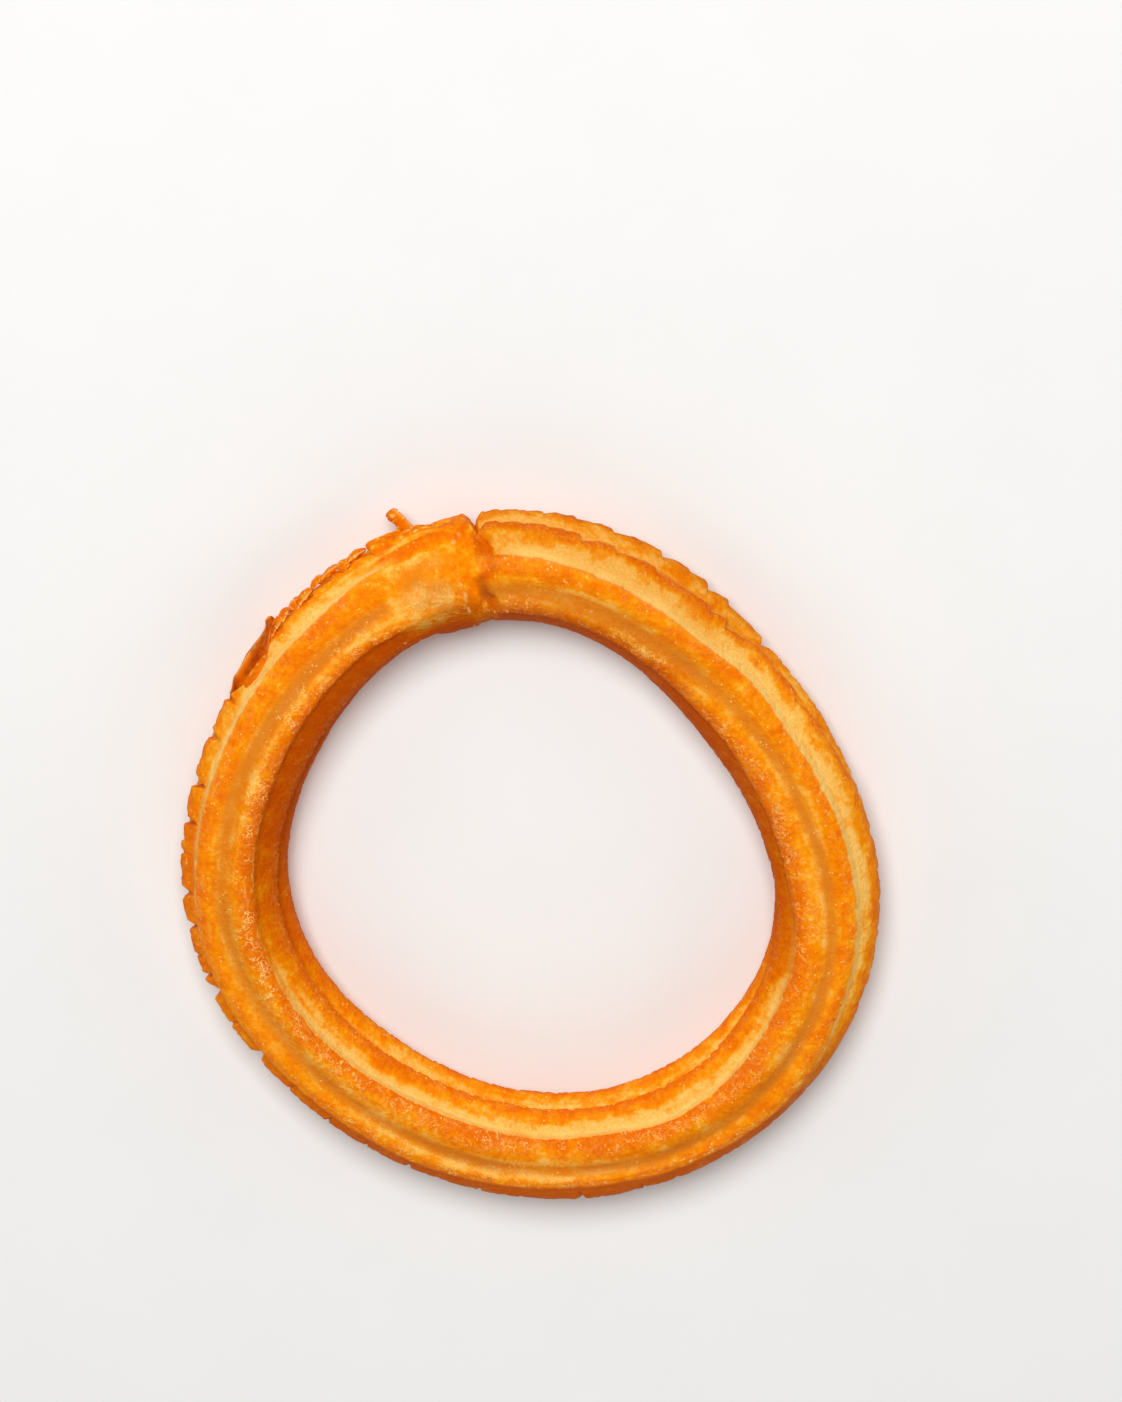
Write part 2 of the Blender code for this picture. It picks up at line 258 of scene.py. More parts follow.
class ChurroRopeSettings(bpy.types.PropertyGroup):
    loop_radius: length_setting("Loop radius", "Mean radius of the rope's centre line", 0.03865)
    rope_radius: length_setting("Rope radius", "From the rope's middle to the top of a ridge", 0.0071)
    groove_depth: length_setting("Groove depth", "From the top of a ridge to the floor of a groove", 0.0016)
    stations: IntProperty(name="Stations", description="Sections along the whole rope", default=1680, min=64)
    columns: IntProperty(name="Columns", description="Points from one ridge to the next", default=26, min=4)
    wide_columns: IntProperty(name="Wide columns", description="Points across the stripe's groove", default=42, min=4)
    lengths: IntProperty(name="Lengths", description="Pieces that the rope's mesh is cut into", default=4)
    flaps: IntProperty(name="Flaps", description="Torn flaps of the fringe", default=14, min=0)
    fringe_seed: IntProperty(name="Fringe seed", description="Another number, another fringe", default=5)
    blisters: IntProperty(name="Blisters", description="Oil blisters on the crests", default=9000)


class ChurroCrustSettings(bpy.types.PropertyGroup):
    edge: colour_setting("Edge", "Browned edge of a ridge", (0.82, 0.153, 0.0003))
    crest: colour_setting("Crest", "Beside a ridge's edge", (0.88, 0.196, 0.0004))
    flank: colour_setting("Flank", "Half way down to a groove", (0.96, 0.290, 0.0010))
    groove: colour_setting("Groove", "Pale dough in a groove", (0.98, 0.480, 0.075))
    grain: colour_setting("Grain", "Pale grains in the pale dough", (1.0, 0.66, 0.23))
    # The glint colour is painted highlight: specks, lines and the pale line beside the sharp edges.
    glint: colour_setting("Glint", "Bright specks on the browned crests", (1.0, 0.67, 0.19))
    stripe: colour_setting("Stripe", "Dull tan groove on the upper side", (0.70, 0.205, 0.014))
    burnt: colour_setting("Burnt", "Dark edge of a tooth", (0.34, 0.035, 0.001))
    roughness: share_setting("Roughness", "Roughness of the dry crust", 0.52)
    oil_and_glint: share_setting("Oil", "Roughness of the oily blisters", 0.30)
    glow: share_setting("Glow", "Light that passes through the dough", 0.12)


class ChurroStageSettings(bpy.types.PropertyGroup):
    tilt: FloatProperty(
        name="Tilt", description="Camera's angle from straight above", default=radians(23.0), subtype="ANGLE"
    )
    distance: length_setting("Distance", "From the camera to the loop's middle", 0.7)
    floor: colour_setting("Floor", "Colour of the floor", (0.86, 0.855, 0.84))
    key: FloatProperty(name="Key light", description="Power of the large soft light", default=8.9, subtype="POWER")
    fill: FloatProperty(name="Fill light", description="Power of the front light", default=1.8, subtype="POWER")
    side: FloatProperty(name="Side lights", description="Power of each light from the side", default=0.95, subtype="POWER")
    sky: FloatProperty(name="Sky", description="Strength of the even light all round", default=0.13)


# ---- Small tools ------------------------------------------------------------------------------


def smoothstep(low, high, value):
    t = np.clip((value - low) / (high - low), 0.0, 1.0)
    return t * t * (3.0 - 2.0 * t)


def mix(a, b, share):
    return a + (b - a) * share


def on_track(track, turn):
    """A smooth curve through (turn, value) stations, as a cubic with the neighbours' slopes."""
    at = np.array([row[0] for row in track])
    value = np.array([row[1] for row in track])
    slope = np.gradient(value, at)
    index = np.clip(np.searchsorted(at, turn) - 1, 0, len(at) - 2)
    span = at[index + 1] - at[index]
    t = (turn - at[index]) / span
    start = value[index] * (1.0 + 2.0 * t) + slope[index] * span * t
    end = value[index + 1] * (3.0 - 2.0 * t) - slope[index + 1] * span * (1.0 - t)
    return start * (1.0 - t) ** 2 + end * t**2


def lattice_noise(along, around, cells_along, cells_around, seed):
    """Smooth noise from -1 to 1 on a grid of unit cells that wraps in both directions."""
    values = np.random.default_rng(seed).uniform(-1.0, 1.0, (cells_along, cells_around))
    row = np.floor(along).astype(int)
    column = np.floor(around).astype(int)
    down = along - row
    over = around - column
    down = down * down * (3.0 - 2.0 * down)
    over = over * over * (3.0 - 2.0 * over)
    left = column % cells_around
    right = (column + 1) % cells_around
    above = row % cells_along
    below = (row + 1) % cells_along
    upper = mix(values[above, left], values[above, right], over)
    lower = mix(values[below, left], values[below, right], over)
    return mix(upper, lower, down)


# ---- The rope ---------------------------------------------------------------------------------


def loop_points(turns, settings):
    """The rope's centre line and the level, outward direction square to it."""

    def centre(turn):
        angle = np.radians(turn)
        radius = np.full_like(angle, settings.loop_radius)
        for waves, height, crest in LOOP_WAVES:
            radius = radius + height * np.cos(waves * (angle - radians(crest)))
        return np.stack(
            [
                radius * np.cos(angle) + LOOP_CENTRE[0],
                radius * np.sin(angle) + LOOP_CENTRE[1],
                np.full_like(angle, settings.rope_radius - REST_CUT),
            ],
            axis=-1,
        )

    step = 0.25
    ahead = centre(turns + step) - centre(turns - step)
    side = np.stack([ahead[:, 1], -ahead[:, 0], np.zeros(len(turns))], axis=-1)
    side /= np.linalg.norm(side, axis=1, keepdims=True)
    return centre(turns), side


def ridge_lies(turns):
    """The lie of each ridge's edge at each turn, and that of the first one again, a turn on."""
    outer = on_track(OUTER_EDGE, turns)
    low = on_track(LOW_INNER_EDGE, turns) + 360.0
    second = outer + on_track(BESIDE, turns)
    third = outer + BEYOND
    sixth = low + BELOW_INNER
    under = [mix(third, sixth, share) for share in UNDER]
    inner = on_track(INNER_EDGE, turns) + 360.0
    return np.stack([outer, second, third, *under, sixth, low, inner, outer + 360.0], axis=1)


def flank(distance, leans, level, reach, wall):
    """How far the star falls, 0 to 1, at an angle from a ridge's edge, on one side of it."""
    if leans:
        rounded = np.sqrt(distance**2 + ROUNDING**2) - ROUNDING
        return np.sin(np.clip(rounded / wall, 0.0, 1.0) * pi / 2.0)
    return np.sin(np.clip((distance - level) / reach, 0.0, 1.0) * pi / 2.0) ** 2


def scale_steps(turns, steps):
    """Scales between steps: 0 where a scale starts, growing to 1 as it slopes to the next step."""
    stops = np.array([row[0] for row in steps])
    index = np.clip(np.searchsorted(stops, turns, side="right"), 1, len(stops) - 1)
    into = (turns - stops[index - 1]) / (stops[index] - stops[index - 1])
    return index, np.clip(into, 0.0, 1.0)


class RopeGrid:
    """The whole rope's surface as arrays: a row for each station, a column round the star."""

    def __init__(self, settings):
        self.settings = settings
        self.radius = settings.rope_radius / MM
        self.depth = settings.groove_depth / MM
        self.turns = JOINT_TURN + 360.0 * np.arange(settings.stations) / settings.stations
        past = self.turns - JOINT_TURN
        self.from_seam = np.where(past > 180.0, past - 360.0, past)[:, None]
        self.centre, self.side = loop_points(self.turns, settings)
        hops = np.linalg.norm(np.roll(self.centre, -1, axis=0) - self.centre, axis=1) / MM
        self.along = np.concatenate([[0.0], np.cumsum(hops)[:-1]])
        self.lay_columns()
        self.shape()

    def lay_columns(self):
        """Each column's lie at each station, its two ridges, and how far the star falls there."""
        edges = self.eased(ridge_lies(self.turns))
        stripe = self.eased(on_track(STRIPE, self.turns) + 360.0)
        lies, lefts, falls, nears, browns = [], [], [], [], []
        for index, ridge in enumerate(RIDGES):
            following = RIDGES[(index + 1) % len(RIDGES)]
            start = edges[:, index][:, None]
            end = edges[:, index + 1][:, None]
            last = index == len(RIDGES) - 1
            count = self.settings.wide_columns if last else self.settings.columns
            share = np.arange(count) / count
            sharp_left = ridge[0] == 1
            sharp_right = following[0] == -1
            if sharp_left:
                share = share**1.3
            elif sharp_right:
                share = 1.0 - (1.0 - share) ** 1.3
            lie = start + (end - start) * share[None, :]
            if last:
                middle = stripe[:, None]
                gentle = start + (middle - start) * share / VALLEY_SHARE
                steep = end - (end - middle) * (1.0 - share) / (1.0 - VALLEY_SHARE)
                lie = np.where(share < VALLEY_SHARE, gentle, steep)
                reach_left = middle - start - ridge[1]
                reach_right = end - middle - following[1]
            else:
                both = not sharp_left and not sharp_right
                room = (end - start) / 2.0 if both else end - start - WALL
                reach_left = room - ridge[1]
                reach_right = room - following[1]
            wall = UPPER_WALL if index == 0 else WALL
            fall = flank(lie - start, sharp_left, ridge[1], reach_left, wall)
            fall = fall * flank(end - lie, sharp_right, following[1], reach_right, wall)
            lies.append(lie)
            falls.append(fall)
            lefts.append(np.full(count, index))
            nears.append(np.stack([lie - start, end - lie]))
            sharp = SHARP_BROWN if index in (0, 5, 6) else LOWER_SHARP_BROWN
            after = sharp if sharp_left else GENTLE_BROWN if ridge[0] else LEVEL_BROWN
            before = sharp if sharp_right else GENTLE_BROWN if following[0] else LEVEL_BROWN
            browns.append((after, before))
        self.star_lie = np.concatenate(lies, axis=1)
        self.fall = np.concatenate(falls, axis=1)
        self.left = np.concatenate(lefts)
        self.near = np.concatenate(nears, axis=2)
        self.browns = browns
        self.stripe_lie = stripe[:, None]
        width = self.near.sum(axis=0)
        self.share = self.near[0] / width

    def eased(self, lies):
        """The same lies, carried evenly from one end of the rope to the other across the joint."""
        seam = self.from_seam[:, 0]
        low, high = JOINT_EASE
        right = np.argmin(np.abs(seam - low))
        left = np.argmin(np.abs(seam - high))
        share = smoothstep(low, high, seam).reshape((-1,) + (1,) * (lies.ndim - 1))
        inside = ((seam > low) & (seam < high)).reshape(share.shape)
        return np.where(inside, mix(lies[right], lies[left], share), lies)

    def grids(self):
        along = np.repeat(self.along[:, None], len(self.left), axis=1)
        around = np.radians(np.repeat(self.star_lie[:1], len(self.along), axis=0)) * self.radius
        return along, around

    def noise(self, length, width, seed):
        """Noise whose cells are length mm along the rope and about width mm round it."""
        along, around = self.grids()
        girth = 2.0 * pi * self.radius
        whole = self.along[-1] + self.along[1]
        rows = max(int(round(whole / length)), 3)
        columns = max(int(round(girth / width)), 3)
        return lattice_noise(along / whole * rows, (around % girth) / girth * columns, rows, columns, seed)

    def by_ridge(self, column):
        """A value from the ridges' table, eased from ridge to ridge round the star."""
        values = np.array([row[column] for row in RIDGES])
        following = np.roll(values, -1)
        return mix(values[self.left][None, :], following[self.left][None, :], smoothstep(0.3, 0.7, self.share))

    def worn(self, index):
        """Depth in mm and sway in degrees of one ridge's teeth at each station."""
        ridge = RIDGES[index]
        random = np.random.default_rng(100 + index)
        steps = [(self.turns[0] - 3.0, 0.0, 0.0)]
        degree = self.along[-1] / 360.0
        while steps[-1][0] < self.turns[-1] + 6.0:
            hop = ridge[4] / degree * random.uniform(0.35, 1.75)
            deep = random.beta(1.2, 2.0) * 2.0
            steps.append((steps[-1][0] + hop, ridge[3] * deep, ridge[5] * deep))
        for torn, named in SCALES:
            if torn == index:
                low, high = named[0][0] - 3.0, named[-1][0] + 1.0
                steps = sorted([row for row in steps if not low < row[0] < high] + list(named))
        where, into = scale_steps(self.turns, steps)
        table = np.array(steps, dtype=float)
        shape = np.where(table[where, 1] < 0.0, (1.0 - into) ** 1.6, into**2.2)
        depth = np.abs(table[where, 1]) * shape
        sway = table[where, 2] * shape
        reach = np.array([0.25, 0.5, 0.25])
        return np.convolve(depth, reach, mode="same"), np.convolve(sway, reach, mode="same")

    def tears(self, gap, soft):
        """Depth in mm of the notches torn in one ridge, on one side of it."""
        cut = np.zeros_like(gap)
        for turn, deep, half in TEARS:
            rows = np.abs(self.turns - turn) < half * 3.5
            into = self.turns[rows, None] - turn + 0.025 * gap[rows]
            away = np.where(into > 0.0, into / (0.9 * half), -into / (1.9 * half))
            reach = 24.0 if soft else 12.0
            narrowed = away + 0.9 * (gap[rows] / reach) ** 2
            cut[rows] = np.maximum(cut[rows], deep * (1.0 - smoothstep(0.1, 1.25, narrowed)))
        return cut

    def wear(self):
        """How much the teeth lower the surface, in mm, and turn it round the rope, in degrees."""
        lower = np.zeros_like(self.star_lie)
        turned = np.zeros_like(self.star_lie)
        count = len(RIDGES)
        for index, ridge in enumerate(RIDGES):
            depth, sway = self.worn(index)
            for side in (0, 1):
                columns = self.left == (index if side == 0 else (index - 1) % count)
                gap = self.near[side][:, columns]
                gentle = ridge[0] != 0 and (ridge[0] == 1) == (side == 1)
                width = (15.0 if gentle else 9.0) if index == 2 else 7.0
                lower[:, columns] += depth[:, None] * np.exp(-((gap / width) ** 2))
                if index in (1, 2):
                    ragged = 0.10 * self.noise(0.9, 6.0, 71 + index) + 0.07 * self.noise(0.45, 3.0, 73 + index)
                    lower[:, columns] += ragged[:, columns] * np.exp(-((gap / 7.0) ** 2))
                turned[:, columns] -= ridge[0] * sway[:, None] * np.exp(-((gap / 10.0) ** 2))
                if index == TORN_RIDGE:
                    lower[:, columns] = np.maximum(lower[:, columns], self.tears(gap, side == 1))
        return lower, turned

    def squiggles(self, length, width, seed, thin=0.11):
        """Thin wandering lines, 0 to 1."""
        line = np.exp(-((self.noise(length, width, seed) / thin) ** 2))
        return line * smoothstep(-0.1, 0.3, self.noise(length * 1.7, width * 1.7, seed + 1))

    def shape(self):
        along, around = self.grids()
        lie = self.star_lie
        signed = (lie + 180.0) % 360.0 - 180.0
        lip = np.interp(signed, *zip(*LIP)) + 0.35 * self.noise(6.0, 2.2, 5)
        blunt = np.interp(signed, *zip(*BLUNT)) + 0.3 * self.noise(6.0, 1.6, 7)
        seam = self.from_seam
        grown = smoothstep(self.by_growth(0), self.by_growth(1), seam)
        strength = np.where((seam < 0.0) | (seam > 60.0), 1.0, grown)
        depth = self.depth * np.array([row[2] for row in RIDGES])[self.left][None, :]
        ledge = smoothstep(222.0, 245.0, self.turns) * smoothstep(342.0, 322.0, self.turns)
        depth = depth * (1.0 - 0.65 * ledge[:, None] * (self.left == 0)[None, :])
        level_side = 1.0 - smoothstep(200.0, 235.0, self.turns) * smoothstep(345.0, 325.0, self.turns)
        depth = depth * (1.0 - 0.5 * level_side[:, None] * (self.left == 6)[None, :])
        upward = np.exp(-((signed / 50.0) ** 2))
        hole_side = smoothstep(-42.0, -75.0, signed) * smoothstep(-150.0, -120.0, signed)
        slope = -0.15 - (0.3 + 0.3 * (1.0 - smoothstep(lip, lip + 3.5, seam))) * upward + 0.55 * hole_side
        relief = mix(slope, -depth * self.fall, strength)
        ease = mix(1.3, 0.45, smoothstep(12.0, -12.0, signed)) + 1.2 * smoothstep(-22.0, -40.0, signed)
        on_left = smoothstep(lip - ease, lip + 0.3 * ease, seam)
        on_right = 1.0 - smoothstep(blunt - 1.0, blunt + 0.6, seam)
        on_right = np.where(seam > 60.0, 1.0, on_right)
        web = np.clip(1.0 - on_left - on_right, 0.0, 1.0)
        web = np.where(np.abs(seam) > 20.0, 0.0, web)
        across = np.clip((seam - blunt) / (lip - blunt), 0.0, 1.0)
        outward = smoothstep(62.0, 80.0, signed) * (1.0 - smoothstep(125.0, 150.0, signed))
        inward = smoothstep(-18.0, -48.0, signed)
        bed = across - 0.24 - 0.14 * self.noise(9.0, 2.0, 10)
        valley = np.exp(-((bed / 0.2) ** 2)) * (1.0 - 0.8 * inward)
        floor = -1.0 + 0.9 * inward - (0.5 + 0.8 * outward) * valley + 0.45 * hole_side * across
        floor += 0.10 * self.noise(0.9, 5.0, 6) + 0.13 * self.noise(1.3, 1.5, 8)
        floor += 0.06 * self.squiggles(0.8, 3.0, 51)
        self.valley = valley
        relief = mix(relief, floor, web)
        bead = np.exp(-(((seam - lip - 0.3) / 0.35) ** 2)) * on_left
        bead = bead * smoothstep(-0.2, 0.5, self.noise(3.0, 1.5, 53)) * smoothstep(-45.0, -25.0, signed)
        relief += 0.10 * bead
        # A broken line along the left end's lip, where glints are painted.
        self.lip_line = np.exp(-(((seam - lip) / 0.22) ** 2)) * smoothstep(0.1, 0.4, self.noise(1.0, 0.8, 54))
        self.past_lip = np.clip(seam - lip, 0.0, 30.0)
        lower, turned = self.wear()
        self.worn_away = lower * strength
        relief -= self.worn_away
        crest = np.clip(1.0 - self.fall * 2.2, 0.0, 1.0) * strength
        rough = self.by_ridge(6)
        # Unevenness: broad lumps, cross ripples on the crests, fine lines along the grooves.
        relief += 0.10 * self.noise(9.0, 7.0, 11) + 0.05 * self.noise(3.0, 3.0, 12) - 0.12
        relief += crest * (0.03 * self.noise(0.7, 2.2, 13) + 0.025 * self.noise(0.45, 0.6, 14))
        relief += (1.0 - crest) * (0.02 * self.noise(7.0, 0.45, 15) + 0.02 * self.noise(1.1, 1.1, 16))
        relief += 0.018 * self.noise(0.45, 0.5, 17)
        tongue = (1.0 - strength) * on_left * smoothstep(-48.0, -34.0, signed) * smoothstep(6.0, -8.0, signed)
        wrinkled = np.interp(self.turns, *zip(*WRINKLES))[:, None]
        crusty = np.maximum(crest * rough * wrinkled, 0.8 * tongue)
        worms = self.squiggles(1.5, 0.36, 61, 0.12) * smoothstep(0.1, 0.7, self.noise(8.0, 4.0, 63) + crusty)
        from_inner = signed - on_track(INNER_EDGE, self.turns)[:, None]
        shoulder = smoothstep(-1.0, 6.0, from_inner) * smoothstep(30.0, 18.0, from_inner) * strength
        # Streaks on the inner ridge's shoulder and below the outer edge: raised a little, and marking where painted
        # glint lines go.
        streaks = smoothstep(-0.35, 0.5, self.noise(3.0, 1.0, 64) + 0.5 * self.noise(0.9, 0.5, 65))
        self.streaks = streaks * shoulder * (0.3 + 0.7 * wrinkled)
        from_outer = signed - on_track(OUTER_EDGE, self.turns)[:, None]
        self.below_streaks = streaks * smoothstep(-16.0, -8.0, from_outer) * smoothstep(1.0, -3.0, from_outer)
        relief += 0.05 * self.streaks * self.noise(0.7, 0.4, 66)
        self.worms = worms * crusty
        relief += 0.07 * self.worms + 0.05 * crusty * self.noise(0.6, 0.5, 18)
        self.blister = self.blisters(along, around, crest)
        relief += self.blister
        self.strong = strength
        self.web = web
        self.across = across
        self.signed = signed
        self.crest = crest
        turned = turned * strength + crest * (0.6 * self.noise(2.5, 5.0, 21) + 0.4 * self.noise(0.8, 5.0, 22))
        angle = np.radians(lie + turned)
        reach = (self.radius + relief) * MM
        point = self.centre[:, None, :] + self.side[:, None, :] * (reach * np.sin(angle))[..., None]
        point[..., 2] += reach * np.cos(angle)
        point[..., 2] = np.maximum(point[..., 2], 0.0)
        self.points = point

    def by_growth(self, end):
        values = np.array([row[7][end] for row in RIDGES])
        following = np.roll(values, -1)
        return mix(values[self.left][None, :], following[self.left][None, :], smoothstep(0.3, 0.7, self.share))

    def blisters(self, along, around, crest):
        """Small domes of blistered crust, some of them sunk in the middle."""
        random = np.random.default_rng(31)
        height = np.zeros_like(crest)
        share = self.by_ridge(6) * smoothstep(-0.5, 0.6, self.noise(5.0, 3.0, 32))
        rows, columns = height.shape
        step = self.along[1]
        for _ in range(self.settings.blisters):
            column = random.integers(columns)
            row = random.integers(rows)
            size = random.uniform(0.09, 0.19)
            tall = random.uniform(0.03, 0.08) * size / 0.15
            ring = random.random() < 0.15
            if random.random() > share[row, column] * crest[row, column]:
                continue
            rows_out = int(size / step) + 2
            low, high = max(row - rows_out, 0), min(row + rows_out + 1, rows)
            near = np.arange(column - 6, column + 7) % columns
            window = np.ix_(np.arange(low, high), near)
            gap_along = along[window] - along[row, column]
            gap_around = around[window] - around[row, column]
            gap = np.sqrt(gap_along**2 + gap_around**2) / size
            dome = tall * np.clip(1.0 - gap**2, 0.0, 1.0)
            if ring:
                dome -= tall * 0.9 * np.clip(1.0 - (gap / 0.55) ** 2, 0.0, 1.0)
            height[window] = np.maximum(height[window], dome)
        return height

    def painted_edge_highlight(self):
        """A painted highlight: a pale line down each sharp edge's wall and at its foot, where the wall would catch the
        light.
        """
        outward = np.array([row[0] == 1 for row in RIDGES])[self.left]
        inward = np.array([row[0] == -1 for row in RIDGES[1:] + RIDGES[:1]])[self.left]
        outer = outward * np.exp(-(((self.near[0] - 5.0) / 5.5) ** 2))
        inner = inward * np.exp(-(((self.near[1] - 5.0) / 4.0) ** 2))
        outer = outer * np.interp(self.turns, *zip(*OUTER_EDGE_HIGHLIGHT))[:, None]
        return np.maximum(outer, inner * np.interp(self.turns, *zip(*INNER_EDGE_HIGHLIGHT))[:, None])

    def upper_brown(self, columns, stray):
        """Browning across the upper groove, with its pale patches, which are partly painted light."""
        offset = self.star_lie[:, columns] - self.stripe_lie + 0.5 * stray
        before = self.star_lie[:, columns][:, :1] - self.stripe_lie
        after = before + self.near[:, :, columns].sum(axis=0)[:, :1]
        across = np.where(offset < 0.0, -offset / before, offset / after)
        brown = np.interp(across, *zip(*UPPER_BROWN))
        for turn, reach, place, width, strength in PALE_AND_LIT_PATCHES:
            along = np.exp(-(((self.turns[:, None] - turn) / reach) ** 2))
            brown = brown - strength * along * np.exp(-(((across - place) / width) ** 2))
        return brown

    def colours(self):
        """Browning of the crust, partly painted shade; the dull stripe, burnt edges, oily blisters with painted glints,
        painted glint lines and painted shade; each from 0 to 1.
        """
        toast_and_shade = np.stack([np.interp(self.turns, *zip(*track)) for track in TOAST_AND_SHADE], axis=1)[:, self.left]
        brown = np.empty_like(self.fall)
        stray = 1.6 * self.noise(4.0, 3.0, 47) + 1.2 * self.noise(1.0, 1.0, 48)
        stray *= 0.25 + 0.75 * smoothstep(0.0, 8.0, np.minimum(self.near[0], self.near[1]))
        for index, (after, before) in enumerate(self.browns):
            columns = self.left == index
            one = np.interp(self.near[0][:, columns] + stray[:, columns], *zip(*after))
            gap = self.near[1][:, columns] + stray[:, columns]
            other = np.interp(gap, *zip(*before))
            if index == 0:
                right = smoothstep(318.0, 335.0, self.turns) * smoothstep(388.0, 366.0, self.turns)
                torn = (smoothstep(240.0, 205.0, self.turns) + right)[:, None]
                other = mix(other, np.interp(gap, *zip(*TORN_BROWN)), torn)
                frayed = smoothstep(174.0, 156.0, self.turns)[:, None]
                other = mix(other, np.interp(gap, *zip(*FRAYED_BROWN)), frayed)
            brown[:, columns] = np.maximum(one, other)
        columns = self.left == len(RIDGES) - 1
        brown[:, columns] = self.upper_brown(columns, stray[:, columns])
        brown = brown + 0.10 * self.noise(6.0, 3.0, 41) + 0.10 * self.noise(1.6, 1.1, 42)
        brown = brown + 0.13 * self.noise(7.0, 0.5, 68) * (1.0 - self.crest)
        below = smoothstep(215.0, 240.0, self.turns) * smoothstep(338.0, 318.0, self.turns)
        inward = (self.left == 5) | (self.left == 6)
        ledge = below[:, None] * (self.left == 0)[None, :]
        # Toasting here is partly painted shade on the hole side's grooves and the underside's ledge.
        toast_and_shade_reach = np.where(inward[None, :], 1.0, self.fall * smoothstep(2.0, 12.0, self.near[0]))
        toast_and_shade_reach = np.maximum(toast_and_shade_reach, ledge)
        brown = brown + toast_and_shade * (0.95 - brown) * toast_and_shade_reach
        amber = 1.5 + 4.5 * smoothstep(0.0, -50.0, self.signed)
        amber = smoothstep(amber + 0.8, amber - 0.4, self.past_lip + 0.8 * self.noise(1.5, 1.2, 57))
        patch = np.exp(-(((self.signed - 25.0) / 11.0) ** 2))
        tongue = 0.16 + 0.30 * patch + 0.6 * smoothstep(44.0, 58.0, self.signed)
        tongue += 0.75 * smoothstep(-36.0, -52.0, self.signed) + 0.12 * self.noise(2.4, 1.4, 45)
        tongue = np.maximum(tongue, 0.46 * amber)
        brown = mix(tongue, brown, self.strong)
        joint = 0.5 + 0.35 * self.valley + 0.16 * self.noise(2.0, 2.0, 43) + 0.12 * self.noise(0.7, 0.9, 56)
        brown = mix(brown, joint, smoothstep(0.35, 0.9, self.web))
        offset = self.star_lie - self.stripe_lie + 1.2 * self.noise(4.0, 4.0, 44)
        offset = offset / (1.0 + 0.5 * smoothstep(395.0, 430.0, self.turns)[:, None])
        wide = 8.0 + 2.0 * smoothstep(115.0, 130.0, self.turns) * smoothstep(225.0, 200.0, self.turns)
        stripe = np.exp(-((np.abs(offset) / wide[:, None]) ** 2.5)) * (0.85 + 0.25 * self.noise(5.0, 2.0, 59))
        stripe = np.where(self.left[None, :] == len(RIDGES) - 1, stripe, 0.0)
        stripe = stripe * smoothstep(0.3, 0.9, self.strong)
        dull = smoothstep(-32.0, -22.0, self.signed) * smoothstep(46.0, 36.0, self.signed)
        dull = dull * (0.55 + 0.5 * self.noise(2.5, 1.5, 60)) * smoothstep(0.1, 0.9, 1.0 - self.web)
        stripe = np.maximum(stripe, dull * (1.0 - self.strong) * smoothstep(14.0, 4.0, self.past_lip))
        # Painted shade: darker on the hole side, on the underside's outer wall and stripe, on the inner half beside the
        # right end and on the left arm, and in the joint's crease.
        inner = on_track(INNER_EDGE, self.turns)[:, None]
        inside = smoothstep(9.0, -8.0, self.signed - inner) * (1.0 - smoothstep(-95.0, -130.0, self.signed))
        painted_shade = inside * np.interp(self.turns, *zip(*INNER_SHADE))[:, None]
        beyond = smoothstep(1.0, 5.0, self.near[0]) * (self.left == 0)[None, :] + (self.left == 1)[None, :]
        painted_shade += 0.5 * beyond * below[:, None]
        painted_shade += 0.35 * stripe * below[:, None]
        end = smoothstep(398.0, 425.0, self.turns) + 0.3 * smoothstep(138.0, 152.0, self.turns) * smoothstep(232.0, 212.0, self.turns)
        painted_shade += 0.42 * end[:, None] * smoothstep(12.0, -12.0, self.star_lie - self.stripe_lie) * (self.signed > inner - 9.0)
        painted_shade += 0.7 * smoothstep(0.5, 0.9, self.web) * self.valley * smoothstep(35.0, -10.0, self.signed)
        burnt = np.clip(self.worn_away * 0.8 - 0.1, 0.0, 0.8)
        # Painted glints on the blisters, the wandering lines and the joint's lip; the same mask lowers the roughness.
        oil_and_glint = smoothstep(0.3, 1.0, self.blister / 0.05) + 0.5 * self.worms + 0.8 * self.lip_line
        # Painted highlight beside the sharp edges, kept off the joint.
        edge_highlight = self.painted_edge_highlight() * self.strong * (0.8 + 0.5 * self.noise(2.2, 3.0, 58))
        edge_highlight = edge_highlight * smoothstep(3.0, 9.0, np.abs(self.from_seam))
        oil_and_glint = np.clip(np.maximum(oil_and_glint, edge_highlight), 0.0, 1.0)
        return {
            "browning": np.clip(brown, 0.0, 1.0),
            "stripe": np.clip(stripe, 0.0, 1.0),
            "burnt": np.clip(burnt, 0.0, 1.0),
            "oil_and_glint": np.clip(oil_and_glint, 0.0, 1.0),
            "glints": np.clip(self.streaks + self.below_streaks * below[:, None] + 0.2 * self.crest * self.strong, 0.0, 1.0),
            "painted_shade": np.clip(painted_shade, 0.0, 1.0),
        }


def grid_normals(points):
    """Vertex normals of a grid that closes on itself both ways, from its neighbours."""
    down = np.roll(points, -1, axis=0) - np.roll(points, 1, axis=0)
    over = np.roll(points, -1, axis=1) - np.roll(points, 1, axis=1)
    normal = np.cross(over, down)
    return normal / np.maximum(np.linalg.norm(normal, axis=2, keepdims=True), 1e-12)


